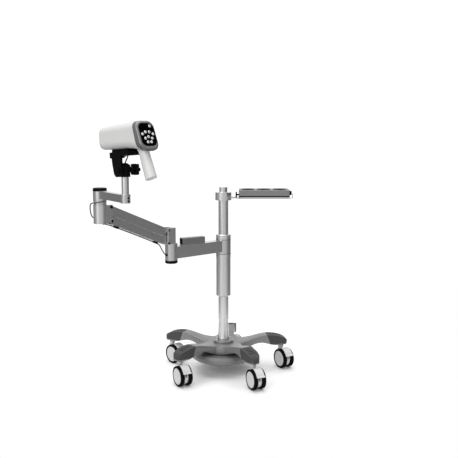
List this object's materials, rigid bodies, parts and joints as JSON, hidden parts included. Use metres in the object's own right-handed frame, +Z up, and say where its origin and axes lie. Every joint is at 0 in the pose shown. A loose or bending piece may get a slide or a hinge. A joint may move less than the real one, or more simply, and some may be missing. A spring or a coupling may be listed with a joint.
{
  "type": "dental camera stand",
  "caption": "Pistol-grip examination camera with a key panel, on a yoke and jointed spring arm carried by a wheeled column stand with a three-cup accessory tray.",
  "frame": {"origin": "on the column's axis at floor level", "axes": "+Z up the column; +X the way the accessory tray points; the arms and camera reach out to -X, -Y"},
  "size_m": [0.7173, 0.9168, 0.9572],
  "materials": {
    "base_paint": "satin",
    "pad_plastic": "matte",
    "satin_aluminium": "satin",
    "grey_anodised": "satin",
    "bright_steel": "brushed",
    "black_plastic": "satin",
    "cable_jacket": "matte",
    "shell_white": "satin",
    "bezel_grey": "satin",
    "panel_black": "gloss",
    "key_white": "satin",
    "module_black": "matte",
    "window_glass": "clear",
    "caster_grey": "satin",
    "caster_wheel": "matte"
  },
  "bodies": {
    "base": {"base_casting": "base_paint", "leg_pads": "pad_plastic", "flange_bolts": "bright_steel", "counterweight_disc": "base_paint", "column_tube": "satin_aluminium"},
    "caster_1_body": {"caster_1_housing": "caster_grey"},
    "caster_1_wheel_pair": {"caster_1_wheels": "caster_wheel"},
    "caster_1_brake": {"caster_1_pedal": "caster_grey"},
    "caster_2_body": {"caster_2_housing": "caster_grey"},
    "caster_2_wheel_pair": {"caster_2_wheels": "caster_wheel"},
    "caster_2_brake": {"caster_2_pedal": "caster_grey"},
    "caster_3_body": {"caster_3_housing": "caster_grey"},
    "caster_3_wheel_pair": {"caster_3_wheels": "caster_wheel"},
    "caster_3_brake": {"caster_3_pedal": "caster_grey"},
    "caster_4_body": {"caster_4_housing": "caster_grey"},
    "caster_4_wheel_pair": {"caster_4_wheels": "caster_wheel"},
    "caster_4_brake": {"caster_4_pedal": "caster_grey"},
    "caster_5_body": {"caster_5_housing": "caster_grey"},
    "caster_5_wheel_pair": {"caster_5_wheels": "caster_wheel"},
    "caster_5_brake": {"caster_5_pedal": "caster_grey"},
    "carriage": {"height_sleeve": "satin_aluminium", "lock_collars": "satin_aluminium"},
    "swing": {"swing_arm": "satin_aluminium", "elbow_cap": "black_plastic", "accessory_rail": "grey_anodised"},
    "elbow": {"elbow_bracket": "satin_aluminium"},
    "link": {"lower_link": "satin_aluminium", "cable_clips": "black_plastic", "arm_cable": "cable_jacket"},
    "cover": {"spring_arm_cover": "satin_aluminium", "upper_pivot_pins": "bright_steel", "gas_spring": "bright_steel"},
    "wrist": {"wrist_bracket": "satin_aluminium", "wrist_cable": "cable_jacket"},
    "extension": {"extension_arm": "satin_aluminium", "wrist_cap": "black_plastic"},
    "mast": {"post": "satin_aluminium", "yoke_barrel": "black_plastic"},
    "head": {"yoke_bracket": "black_plastic", "camera_lead": "cable_jacket", "camera_shell_left": "shell_white", "camera_shell_right": "shell_white", "panel_bezel": "bezel_grey", "key_panel": "panel_black", "camera_module": "module_black", "lens_window": "window_glass"},
    "tilt_clamp": {"clamp_knob": "black_plastic"},
    "power_button": {"power_key": "key_white"},
    "button_1": {"key_1": "key_white"},
    "button_2": {"key_2": "key_white"},
    "button_3": {"key_3": "key_white"},
    "button_4": {"key_4": "key_white"},
    "button_5": {"key_5": "key_white"},
    "button_6": {"key_6": "key_white"},
    "button_7": {"key_7": "key_white"},
    "button_8": {"key_8": "key_white"},
    "button_9": {"key_9": "key_white"},
    "tray": {"tray_bracket": "satin_aluminium", "tray_body": "grey_anodised", "tray_end_fittings": "bright_steel"}
  },
  "joints": [
    {"name": "caster_1_swivel", "type": "hinge", "parent": "base", "child": "caster_1_body", "pos_m": [0.22788, 0.03965, 0.09], "axis": [0, 0, 1], "continuous": true},
    {"name": "caster_1_spin", "type": "hinge", "parent": "caster_1_body", "child": "caster_1_wheel_pair", "pos_m": [0.23888, 0.02059, 0.0375], "axis": [0.866, 0.5, 0], "continuous": true},
    {"name": "caster_1_brake_press", "type": "hinge", "parent": "caster_1_body", "child": "caster_1_brake", "pos_m": [0.23888, 0.02059, 0.0535], "axis": [0.866, 0.5, 0], "range_deg": [0, 8]},
    {"name": "caster_2_swivel", "type": "hinge", "parent": "base", "child": "caster_2_body", "pos_m": [0.03271, 0.22898, 0.09], "axis": [0, 0, 1], "continuous": true},
    {"name": "caster_2_spin", "type": "hinge", "parent": "caster_2_body", "child": "caster_2_wheel_pair", "pos_m": [0.04371, 0.20992, 0.0375], "axis": [0.866, 0.5, 0], "continuous": true},
    {"name": "caster_2_brake_press", "type": "hinge", "parent": "caster_2_body", "child": "caster_2_brake", "pos_m": [0.04371, 0.20992, 0.0535], "axis": [0.866, 0.5, 0], "range_deg": [0, 8]},
    {"name": "caster_3_swivel", "type": "hinge", "parent": "base", "child": "caster_3_body", "pos_m": [-0.20766, 0.10187, 0.09], "axis": [0, 0, 1], "continuous": true},
    {"name": "caster_3_spin", "type": "hinge", "parent": "caster_3_body", "child": "caster_3_wheel_pair", "pos_m": [-0.19266, 0.08578, 0.0375], "axis": [0.7314, 0.682, 0], "continuous": true},
    {"name": "caster_3_brake_press", "type": "hinge", "parent": "caster_3_body", "child": "caster_3_brake", "pos_m": [-0.19266, 0.08578, 0.0535], "axis": [0.7314, 0.682, 0], "range_deg": [0, 8]},
    {"name": "caster_4_swivel", "type": "hinge", "parent": "base", "child": "caster_4_body", "pos_m": [-0.16105, -0.16602, 0.09], "axis": [0, 0, 1], "continuous": true},
    {"name": "caster_4_spin", "type": "hinge", "parent": "caster_4_body", "child": "caster_4_wheel_pair", "pos_m": [-0.15005, -0.18507, 0.0375], "axis": [0.866, 0.5, 0], "continuous": true},
    {"name": "caster_4_brake_press", "type": "hinge", "parent": "caster_4_body", "child": "caster_4_brake", "pos_m": [-0.15005, -0.18507, 0.0535], "axis": [0.866, 0.5, 0], "range_deg": [0, 8]},
    {"name": "caster_5_swivel", "type": "hinge", "parent": "base", "child": "caster_5_body", "pos_m": [0.10812, -0.20447, 0.09], "axis": [0, 0, 1], "continuous": true},
    {"name": "caster_5_spin", "type": "hinge", "parent": "caster_5_body", "child": "caster_5_wheel_pair", "pos_m": [0.11742, -0.22441, 0.0375], "axis": [0.9063, 0.4226, 0], "continuous": true},
    {"name": "caster_5_brake_press", "type": "hinge", "parent": "caster_5_body", "child": "caster_5_brake", "pos_m": [0.11742, -0.22441, 0.0535], "axis": [0.9063, 0.4226, 0], "range_deg": [0, 8]},
    {"name": "height_slide", "type": "slide", "parent": "base", "child": "carriage", "axis": [0, 0, 1], "range_m": [-0.09, 0.11]},
    {"name": "arm_swing", "type": "hinge", "parent": "carriage", "child": "swing", "pos_m": [0, 0, 0.488], "axis": [0, 0, 1], "range_deg": [-120, 120]},
    {"name": "elbow_swing", "type": "hinge", "parent": "swing", "child": "elbow", "pos_m": [-0.18858, -0.16106, 0.493], "axis": [0, 0, 1], "range_deg": [-90, 90]},
    {"name": "spring_pitch", "type": "hinge", "parent": "elbow", "child": "link", "pos_m": [-0.20972, -0.18374, 0.531], "axis": [-0.7314, 0.682, 0], "range_deg": [-42, 12], "deforming": ["arm_cable"]},
    {"name": "cover_pitch", "type": "hinge", "parent": "elbow", "child": "cover", "pos_m": [-0.20972, -0.18374, 0.577], "axis": [-0.7314, 0.682, 0], "range_deg": [-42, 12]},
    {"name": "wrist_level", "type": "hinge", "parent": "link", "child": "wrist", "pos_m": [-0.38072, -0.36711, 0.63383], "axis": [-0.7314, 0.682, 0], "range_deg": [-12, 42]},
    {"name": "wrist_swing", "type": "hinge", "parent": "wrist", "child": "extension", "pos_m": [-0.40186, -0.38978, 0.66], "axis": [0, 0, 1], "range_deg": [-100, 60], "deforming": ["wrist_cable"]},
    {"name": "post_pan", "type": "hinge", "parent": "extension", "child": "mast", "pos_m": [-0.2962, -0.55248, 0.74], "axis": [0, 0, 1], "range_deg": [-170, 170]},
    {"name": "head_tilt", "type": "hinge", "parent": "mast", "child": "head", "pos_m": [-0.2962, -0.55248, 0.811], "axis": [0.7071, 0.7071, 0], "range_deg": [-25, 25], "deforming": ["camera_lead"]},
    {"name": "clamp_turn", "type": "hinge", "parent": "mast", "child": "tilt_clamp", "pos_m": [-0.2962, -0.55248, 0.811], "axis": [0.7071, 0.7071, 0], "range_deg": [-180, 180]},
    {"name": "power_press", "type": "slide", "parent": "head", "child": "power_button", "axis": [-0.6556, 0.6556, -0.3746], "range_m": [0, 0.001], "stiffness_N_per_m": 400, "springref_m": -0.0015},
    {"name": "key_1_press", "type": "slide", "parent": "head", "child": "button_1", "axis": [-0.6556, 0.6556, -0.3746], "range_m": [0, 0.001], "stiffness_N_per_m": 400, "springref_m": -0.0015},
    {"name": "key_2_press", "type": "slide", "parent": "head", "child": "button_2", "axis": [-0.6556, 0.6556, -0.3746], "range_m": [0, 0.001], "stiffness_N_per_m": 400, "springref_m": -0.0015},
    {"name": "key_3_press", "type": "slide", "parent": "head", "child": "button_3", "axis": [-0.6556, 0.6556, -0.3746], "range_m": [0, 0.001], "stiffness_N_per_m": 400, "springref_m": -0.0015},
    {"name": "key_4_press", "type": "slide", "parent": "head", "child": "button_4", "axis": [-0.6556, 0.6556, -0.3746], "range_m": [0, 0.001], "stiffness_N_per_m": 400, "springref_m": -0.0015},
    {"name": "key_5_press", "type": "slide", "parent": "head", "child": "button_5", "axis": [-0.6556, 0.6556, -0.3746], "range_m": [0, 0.001], "stiffness_N_per_m": 400, "springref_m": -0.0015},
    {"name": "key_6_press", "type": "slide", "parent": "head", "child": "button_6", "axis": [-0.6556, 0.6556, -0.3746], "range_m": [0, 0.001], "stiffness_N_per_m": 400, "springref_m": -0.0015},
    {"name": "key_7_press", "type": "slide", "parent": "head", "child": "button_7", "axis": [-0.6556, 0.6556, -0.3746], "range_m": [0, 0.001], "stiffness_N_per_m": 400, "springref_m": -0.0015},
    {"name": "key_8_press", "type": "slide", "parent": "head", "child": "button_8", "axis": [-0.6556, 0.6556, -0.3746], "range_m": [0, 0.001], "stiffness_N_per_m": 400, "springref_m": -0.0015},
    {"name": "key_9_press", "type": "slide", "parent": "head", "child": "button_9", "axis": [-0.6556, 0.6556, -0.3746], "range_m": [0, 0.001], "stiffness_N_per_m": 400, "springref_m": -0.0015},
    {"name": "tray_swing", "type": "hinge", "parent": "base", "child": "tray", "pos_m": [0, 0, 0.682], "axis": [0, 0, 1], "range_deg": [-90, 90]}
  ],
  "couplings": [
    {"joint": "cover_pitch", "follows": "spring_pitch", "ratio": 1},
    {"joint": "wrist_level", "follows": "spring_pitch", "ratio": -1}
  ]
}
